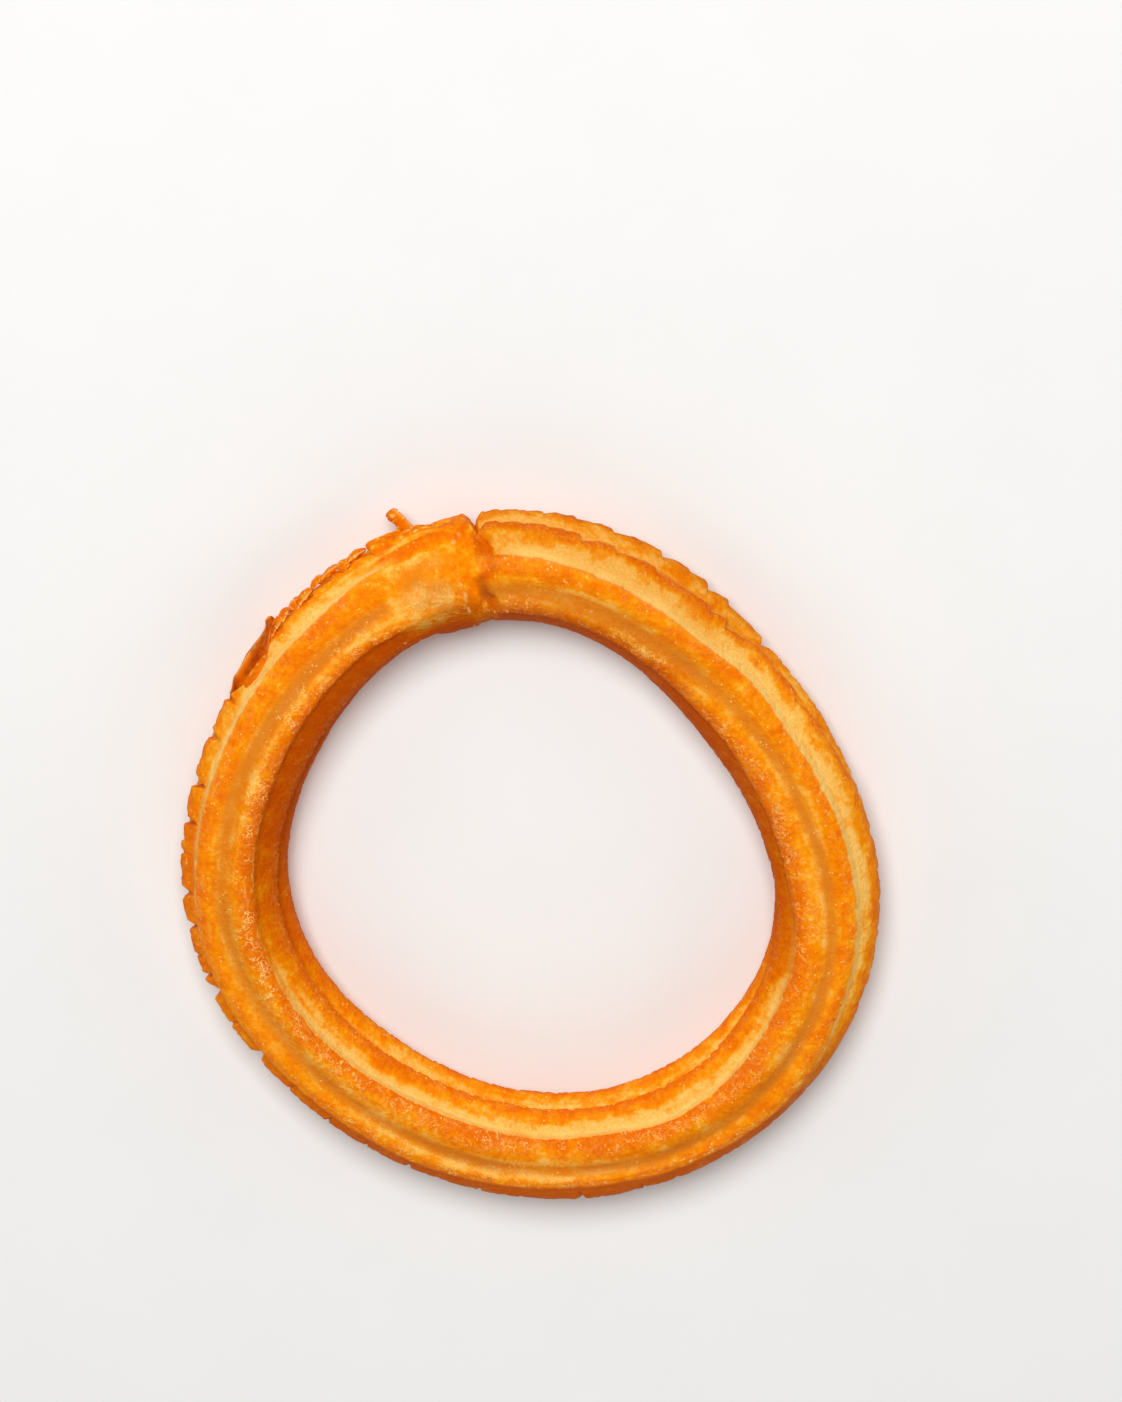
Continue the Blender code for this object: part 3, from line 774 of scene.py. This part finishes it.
def mesh_from_arrays(name, vertices, quads):
    mesh = bpy.data.meshes.new(name)
    mesh.vertices.add(len(vertices))
    mesh.vertices.foreach_set("co", vertices.astype(np.float32).ravel())
    mesh.loops.add(quads.size)
    mesh.loops.foreach_set("vertex_index", quads.astype(np.int32).ravel())
    mesh.polygons.add(len(quads))
    mesh.polygons.foreach_set("loop_start", np.arange(0, quads.size, 4, dtype=np.int32))
    mesh.update(calc_edges=True)
    mesh.validate()
    mesh.shade_smooth()
    return mesh


def add_attribute(mesh, name, values):
    layer = mesh.attributes.new(name, "FLOAT", "POINT")
    layer.data.foreach_set("value", np.ascontiguousarray(values, dtype=np.float32).ravel())


def rope_length(grid, index, material):
    """One length of the rope's mesh, with the whole rope's normals so that no seam shows."""
    rows, columns = grid.points.shape[:2]
    lengths = grid.settings.lengths
    first = rows * index // lengths
    last = rows * (index + 1) // lengths
    chosen = np.arange(first, last + 1) % rows
    name = "rope_length_%d" % (index + 1)
    row = np.arange(len(chosen) - 1)[:, None] * columns
    column = np.arange(columns)[None, :]
    beyond = (column + 1) % columns
    quads = np.stack([row + column, row + beyond, row + columns + beyond, row + columns + column], axis=-1)
    mesh = mesh_from_arrays(name, grid.points[chosen].reshape(-1, 3), quads.reshape(-1, 4))
    for label, values in grid.colours().items():
        add_attribute(mesh, label, values[chosen])
    mesh.normals_split_custom_set_from_vertices(grid_normals(grid.points)[chosen].reshape(-1, 3))
    mesh.materials.append(material)
    piece = bpy.data.objects.new(name, mesh)
    bpy.context.scene.collection.objects.link(piece)
    return piece


# ---- Torn bits --------------------------------------------------------------------------------


def rope_place(settings, turn, lie, lift):
    """A point above the rope's round surface: turn and lie in degrees, lift in mm."""
    centre, side = loop_points(np.atleast_1d(np.asarray(turn, dtype=float)), settings)
    angle = np.radians(np.atleast_1d(lie))
    reach = (settings.rope_radius / MM + np.atleast_1d(lift)) * MM
    out = side * np.sin(angle)[:, None] + np.array([0.0, 0.0, 1.0]) * np.cos(angle)[:, None]
    return centre + out * reach[:, None], out


def strip_piece(settings, name, path, width, thickness, folds, seed, burnt):
    """A torn strip of crust: path rows are turn, lie, lift in mm and a share of the full width."""
    random = np.random.default_rng(seed)
    path = np.array(path, dtype=float)
    knots = np.linspace(0.0, 1.0, len(path))
    steps = np.linspace(0.0, 1.0, 72)
    turn, lie, lift, share = (on_track(list(zip(knots, path[:, column])), steps) for column in range(4))
    spine, out = rope_place(settings, turn, lie, lift)
    ahead = np.gradient(spine, axis=0)
    ahead /= np.linalg.norm(ahead, axis=1)[:, None]
    across = np.cross(ahead, out)
    across /= np.linalg.norm(across, axis=1)[:, None]
    upward = np.cross(across, ahead)
    round_end = np.sqrt(np.clip(1.0 - np.abs(2.0 * steps - 1.0) ** 9, 0.0, 1.0))
    around = np.radians(np.arange(0.0, 360.0, 10.0))
    wobble = lattice_noise(
        steps[:, None] * 14.0 + 0.0 * around, around * 7.0 / (2.0 * pi) + 0.0 * steps[:, None], 16, 7, seed
    )
    fold = np.cos(folds * around + random.uniform(0.0, 6.0))[None, :] + 0.0 * steps[:, None]
    radius = (1.0 + 0.16 * wobble + 0.13 * fold) * (share * round_end)[:, None]
    flat = radius * width / 2.0 * MM * np.cos(around)
    tall = radius * thickness / 2.0 * MM * np.sin(around)
    points = spine[:, None, :] + across[:, None, :] * flat[..., None] + upward[:, None, :] * tall[..., None]
    rows, columns = points.shape[:2]
    row = np.arange(rows - 1)[:, None] * columns
    column = np.arange(columns)[None, :]
    beyond = (column + 1) % columns
    quads = np.stack([row + column, row + beyond, row + columns + beyond, row + columns + column], axis=-1)
    mesh = mesh_from_arrays(name, points.reshape(-1, 3), quads.reshape(-1, 4))
    dark = np.clip(burnt + (0.12 + burnt) * (wobble - 0.5 * fold), 0.0, 1.0)
    add_attribute(mesh, "browning", np.clip(0.66 - 0.35 * wobble + 0.5 * burnt, 0.0, 1.0))
    add_attribute(mesh, "burnt", dark)
    # Painted glints on the strip's lumps and folds; the same mask lowers the roughness.
    add_attribute(mesh, "oil_and_glint", np.clip(smoothstep(0.45, 0.9, wobble) + 0.6 * smoothstep(0.8, 1.0, fold), 0.0, 1.0))
    mesh.materials.append(crust())
    piece = bpy.data.objects.new(name, mesh)
    bpy.context.scene.collection.objects.link(piece)
    declare(piece)
    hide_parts(NODE)
    return piece


# ---- Materials --------------------------------------------------------------------------------


class Nodes:
    """Short calls for building a material's nodes."""

    def __init__(self, name):
        self.material = bpy.data.materials.new(name)
        self.material.use_nodes = True
        self.tree = self.material.node_tree
        self.shader = self.tree.nodes["Principled BSDF"]

    def add(self, kind, inputs=(), **settings):
        node = self.tree.nodes.new(kind)
        for key, value in settings.items():
            setattr(node, key, value)
        for key, value in dict(inputs).items():
            self.feed(node.inputs[key], value)
        return node

    def feed(self, socket, value):
        if isinstance(value, bpy.types.NodeSocket):
            self.tree.links.new(value, socket)
        else:
            socket.default_value = value

    def attribute(self, name):
        return self.add("ShaderNodeAttribute", attribute_name=name).outputs["Fac"]

    def place(self):
        return self.add("ShaderNodeTexCoord").outputs["Object"]

    def noise(self, scale, detail=3.0, roughness=0.55):
        inputs = {"Vector": self.place(), "Scale": scale, "Detail": detail, "Roughness": roughness}
        return self.add("ShaderNodeTexNoise", inputs).outputs["Fac"]

    def cells(self, scale, feature="F1"):
        inputs = {"Vector": self.place(), "Scale": scale}
        return self.add("ShaderNodeTexVoronoi", inputs, feature=feature).outputs["Distance"]

    def math(self, operation, a, b=0.0, c=0.0, clamp=False):
        node = self.add("ShaderNodeMath", operation=operation, use_clamp=clamp)
        for socket, value in zip(node.inputs, (a, b, c)):
            self.feed(socket, value)
        return node.outputs[0]

    def span(self, value, low, high, to_low=0.0, to_high=1.0):
        inputs = {"Value": value, "From Min": low, "From Max": high, "To Min": to_low, "To Max": to_high}
        return self.add("ShaderNodeMapRange", inputs).outputs["Result"]

    def blend(self, share, a, b, kind="MIX"):
        node = self.add("ShaderNodeMix", data_type="RGBA", blend_type=kind)
        self.feed(node.inputs["Factor"], share)
        for socket, value in ((node.inputs[6], a), (node.inputs[7], b)):
            self.feed(socket, value if isinstance(value, bpy.types.NodeSocket) else (*value, 1.0))
        return node.outputs[2]

    def ramp(self, value, stops):
        node = self.add("ShaderNodeValToRGB", {"Fac": value})
        elements = node.color_ramp.elements
        while len(elements) < len(stops):
            elements.new(0.5)
        for element, (position, colour) in zip(elements, stops):
            element.position = position
            element.color = (*colour, 1.0)
        return node.outputs["Color"]

    def bump(self, height, distance, strength, normal=None):
        inputs = {"Height": height, "Distance": distance, "Strength": strength}
        if normal is not None:
            inputs["Normal"] = normal
        return self.add("ShaderNodeBump", inputs).outputs["Normal"]


def crust_material(settings):
    """Fried dough: pale grooves, browned crests, burnt teeth, fine blisters, a little oiliness, and painted shade and
    painted glints in the colour.
    """
    n = Nodes("churro_crust")
    mottle = n.noise(420.0, 4.0)
    fine = n.noise(1500.0, 4.0)
    browning = n.math("ADD", n.attribute("browning"), n.span(mottle, 0.3, 0.7, -0.22, 0.22))
    browning = n.math("ADD", browning, n.span(fine, 0.3, 0.7, -0.17, 0.17))
    browning = n.math("ADD", browning, n.span(n.noise(800.0, 3.0), 0.3, 0.7, -0.10, 0.10))
    halfway = (0.97, 0.37, 0.014)
    colour = n.ramp(
        browning,
        (
            (0.10, settings.groove), (0.26, halfway), (0.40, settings.flank), (0.68, settings.crest),
            (0.90, settings.edge),
        ),
    )
    colour = n.blend(n.math("MULTIPLY", n.attribute("stripe"), 0.95), colour, tuple(settings.stripe))
    # Painted shade: the colour is darkened towards a deep orange where the painted shade attribute is high.
    shade = n.blend(n.attribute("painted_shade"), (1.0, 1.0, 1.0), (0.60, 0.46, 0.25))
    colour = n.blend(1.0, colour, shade, "MULTIPLY")
    # Pale grains of dough where it is pale, and fewer, sharper painted glints on the browned crests.
    grains = n.span(n.noise(3600.0, 3.0), 0.42, 0.72)
    pale = n.math("MULTIPLY", grains, n.span(n.attribute("browning"), 0.08, 0.38, 0.9, 0.0))
    pale = n.math("MULTIPLY", pale, n.span(n.attribute("stripe"), 0.0, 1.0, 1.0, 0.3))
    pale = n.math("MULTIPLY", pale, n.span(n.attribute("painted_shade"), 0.0, 0.6, 1.0, 0.15))
    pale = n.math("MULTIPLY", pale, n.span(mottle, 0.3, 0.7, 1.25, 0.5), clamp=True)
    colour = n.blend(pale, colour, tuple(settings.grain))
    # Thin wandering lines of painted glint, where set oily crust would catch the light, along the inner crest above
    # all.
    wander = n.math("ABSOLUTE", n.math("SUBTRACT", n.noise(1150.0, 2.0), 0.5))
    lines = n.math("MULTIPLY", n.span(wander, 0.012, 0.045, 1.0, 0.0), n.span(n.noise(800.0, 2.0), 0.45, 0.6))
    ripple = n.math("ABSOLUTE", n.math("SUBTRACT", n.noise(2300.0, 2.0), 0.5))
    ripples = n.math("MULTIPLY", n.span(ripple, 0.01, 0.035, 0.8, 0.0), n.span(n.noise(500.0, 2.0), 0.42, 0.58))
    lines = n.math("MAXIMUM", lines, ripples)
    lines = n.math("MULTIPLY", lines, n.math("MULTIPLY", n.attribute("glints"), 0.9))
    colour = n.blend(lines, colour, tuple(settings.glint))
    # Painted glints: small bright specks, fewer in the painted shade; then the glint colour over the oily blisters, the
    # lip and the edge highlights.
    specks = n.span(n.cells(1700.0), 0.14, 0.26, 1.0, 0.0)
    specks = n.math("MULTIPLY", specks, n.span(n.noise(600.0, 2.0), 0.53, 0.60))
    specks = n.math("MULTIPLY", specks, n.span(n.attribute("painted_shade"), 0.0, 0.6, 1.0, 0.2))
    colour = n.blend(n.math("MULTIPLY", specks, 0.65), colour, tuple(settings.glint))
    colour = n.blend(n.math("MULTIPLY", n.attribute("oil_and_glint"), 0.7), colour, tuple(settings.glint))
    burnt = n.math("MULTIPLY", n.attribute("burnt"), n.span(mottle, 0.3, 0.65, 0.5, 1.0))
    colour = n.blend(burnt, colour, tuple(settings.burnt))
    n.feed(n.shader.inputs["Base Color"], colour)
    rough = n.span(n.attribute("oil_and_glint"), 0.0, 1.0, settings.roughness, settings.oil_and_glint)
    rough = n.math("ADD", rough, n.span(mottle, 0.3, 0.7, -0.08, 0.08))
    n.feed(n.shader.inputs["Roughness"], rough)
    grain = n.math("ADD", n.noise(2200.0, 4.0, 0.65), n.math("MULTIPLY", n.cells(1800.0), 0.5))
    n.feed(n.shader.inputs["Normal"], n.bump(grain, 0.0002, 0.8))
    n.shader.inputs["Specular IOR Level"].default_value = 0.02
    n.shader.inputs["Subsurface Weight"].default_value = settings.glow
    n.shader.inputs["Subsurface Radius"].default_value = (1.0, 0.35, 0.08)
    n.shader.inputs["Subsurface Scale"].default_value = 0.0012
    return n.material


def floor_material(settings):
    n = Nodes("pale_floor")
    grain = n.noise(60.0, 3.0)
    tone = n.blend(n.span(grain, 0.3, 0.7), tuple(settings.floor), tuple(0.985 * v for v in settings.floor))
    n.feed(n.shader.inputs["Base Color"], tone)
    n.shader.inputs["Roughness"].default_value = 0.85
    return n.material


def crust():
    """The crust's material, made once."""
    return bpy.data.materials.get("churro_crust") or crust_material(bpy.context.scene.churro_crust)


def declare(piece):
    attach(piece, "root")


# ---- Operators --------------------------------------------------------------------------------


class CHURRO_OT_rope(bpy.types.Operator):
    """Build the star-piped rope with its pressed joint, teeth and blisters"""

    bl_idname = "churro.rope"
    bl_label = "Rope"
    bl_options = {"REGISTER", "UNDO"}

    def execute(self, context):
        settings = context.scene.churro_rope
        grid = RopeGrid(settings)
        for index in range(settings.lengths):
            piece = rope_length(grid, index, crust())
            declare(piece)
            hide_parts(NODE)
        return {"FINISHED"}


class CHURRO_OT_curl(bpy.types.Operator):
    """Lay the dark rolled strip that is torn half off the rope's outer side"""

    bl_idname = "churro.curl"
    bl_label = "Torn curl"
    bl_options = {"REGISTER", "UNDO"}

    def execute(self, context):
        settings = context.scene.churro_rope
        strip_piece(settings, "torn_curl", CURL_PATH, 2.8, 2.2, 3, 71, 0.62)
        strip_piece(settings, "torn_curl_fold", CURL_FOLD_PATH, 1.1, 0.9, 2, 72, 0.15)
        return {"FINISHED"}


class CHURRO_OT_horn(bpy.types.Operator):
    """Stand the small horn of dough beside the joint"""

    bl_idname = "churro.horn"
    bl_label = "Horn"
    bl_options = {"REGISTER", "UNDO"}

    def execute(self, context):
        settings = context.scene.churro_rope
        strip_piece(settings, "horn", HORN_PATH, 2.0, 1.8, 2, 73, 0.12)
        strip_piece(settings, "joint_lip_fold", LIP_FOLD_PATH, 2.3, 1.3, 2, 74, 0.0)
        strip_piece(settings, "joint_lip_layer", LIP_LAYER_PATH, 1.6, 1.2, 3, 75, 0.0)
        return {"FINISHED"}


class CHURRO_OT_fringe(bpy.types.Operator):
    """Lay small torn flaps along the outer ridge between the joint and the curl"""

    bl_idname = "churro.fringe"
    bl_label = "Torn fringe"
    bl_options = {"REGISTER", "UNDO"}

    def execute(self, context):
        settings = context.scene.churro_rope
        random = np.random.default_rng(settings.fringe_seed)
        turn = 114.5
        for index in range(settings.flaps):
            length = random.uniform(1.8, 4.6)
            lie = 88.5 + random.uniform(-4.0, 3.0)
            lean = random.uniform(-4.0, 5.0)
            lift = random.uniform(-0.15, 0.1)
            path = (
                (turn, lie, lift + 0.05, 0.5),
                (turn + 0.35 * length, lie - 0.3 * lean, lift + 0.15, 1.0),
                (turn + 0.7 * length, lie - lean, lift, 0.9),
                (turn + length, lie - lean * 1.5, lift - 0.3, 0.5),
            )
            name = "flap_%02d" % (index + 1)
            strip_piece(settings, name, path, random.uniform(2.0, 2.9), random.uniform(0.7, 1.0), 3, 80 + index, 0.0)
            turn += length * random.uniform(0.6, 0.85)
            if turn > 131.0:
                break
        return {"FINISHED"}


class CHURRO_OT_stage(bpy.types.Operator):
    """Set the pale floor, the soft lights and the camera"""

    bl_idname = "churro.stage"
    bl_label = "Stage"
    bl_options = {"REGISTER", "UNDO"}

    def execute(self, context):
        settings = context.scene.churro_stage
        self.floor(settings)
        self.lights(settings)
        self.camera(settings)
        return {"FINISHED"}

    def floor(self, settings):
        bpy.ops.mesh.primitive_plane_add(size=6.0, location=(0.0, 0.0, -0.00002))
        floor = bpy.context.object
        floor.name = "floor"
        floor.data.materials.append(floor_material(settings))

    def lights(self, settings):
        target = Vector((0.0, 0.0, 0.0))
        for name, place, size, power in (
            ("key_light", Vector((-0.08, 0.52, 0.85)), 0.45, settings.key),
            ("fill_light", Vector((0.1, -0.75, 0.5)), 0.8, settings.fill),
            ("right_light", Vector((0.85, 0.2, 0.45)), 0.5, settings.side),
            ("left_light", Vector((-0.85, 0.2, 0.45)), 0.5, settings.side),
        ):
            light = bpy.data.lights.new(name, "AREA")
            light.shape = "DISK"
            light.size = size
            light.energy = power
            lamp = bpy.data.objects.new(name, light)
            lamp.location = place
            lamp.rotation_euler = (target - place).to_track_quat("-Z", "Y").to_euler()
            bpy.context.scene.collection.objects.link(lamp)
        world = bpy.data.worlds.new("studio")
        world.use_nodes = True
        background = world.node_tree.nodes["Background"]
        background.inputs["Color"].default_value = (1.0, 1.0, 1.0, 1.0)
        background.inputs["Strength"].default_value = settings.sky
        bpy.context.scene.world = world

    def camera(self, settings):
        """The camera leans over the joint's side of the ring; the image's top is +Y."""
        lean = settings.tilt
        back = Vector((0.0, sin(lean), cos(lean)))
        top = Vector((0.0, cos(lean), -sin(lean)))
        right = Vector((1.0, 0.0, 0.0))
        middle = Vector((0.0, 0.0, 0.0068))
        picture_width, picture_height = 1122.0, 1402.0
        per_picture = 0.1284 * MM
        ring_x, ring_y = 531.0, 862.0
        place = middle + back * settings.distance
        aim = middle - right * ((ring_x - picture_width / 2) * per_picture)
        aim += top * ((ring_y - picture_height / 2) * per_picture)
        gaze = (place - aim).normalized()
        across = top.cross(gaze).normalized()
        upward = gaze.cross(across)
        camera = bpy.data.cameras.new("camera")
        camera.sensor_width = 36.0
        camera.lens = settings.distance / (picture_height * per_picture) * camera.sensor_width
        holder = bpy.data.objects.new("camera", camera)
        holder.matrix_world = Matrix.Translation(place) @ Matrix((across, upward, gaze)).transposed().to_4x4()
        bpy.context.scene.collection.objects.link(holder)
        bpy.context.scene.camera = holder
        bpy.context.scene.view_settings.view_transform = "Standard"


class CHURRO_PT_panel(bpy.types.Panel):
    """The churro's tools"""

    bl_label = "Churro ring"
    bl_idname = "CHURRO_PT_panel"
    bl_space_type = "VIEW_3D"
    bl_region_type = "UI"
    bl_category = "Churro"

    def draw(self, context):
        layout = self.layout
        for tool in TOOLS:
            layout.operator(tool.bl_idname)
        for group in SETTINGS:
            box = layout.box()
            settings = getattr(context.scene, group)
            for name in settings.__class__.__annotations__:
                box.prop(settings, name)


SETTINGS = {
    "churro_rope": ChurroRopeSettings,
    "churro_crust": ChurroCrustSettings,
    "churro_stage": ChurroStageSettings,
}
TOOLS = (CHURRO_OT_rope, CHURRO_OT_curl, CHURRO_OT_horn, CHURRO_OT_fringe, CHURRO_OT_stage)
CLASSES = (*SETTINGS.values(), *TOOLS, CHURRO_PT_panel)


def register():
    for cls in CLASSES:
        bpy.utils.register_class(cls)
    for name, group in SETTINGS.items():
        setattr(bpy.types.Scene, name, PointerProperty(type=group))


def unregister():
    for name in SETTINGS:
        delattr(bpy.types.Scene, name)
    for cls in reversed(CLASSES):
        bpy.utils.unregister_class(cls)


def main():
    register()
    for tool in TOOLS:
        package, _, name = tool.bl_idname.partition(".")
        getattr(getattr(bpy.ops, package), name)()


if __name__ == "__main__":
    main()
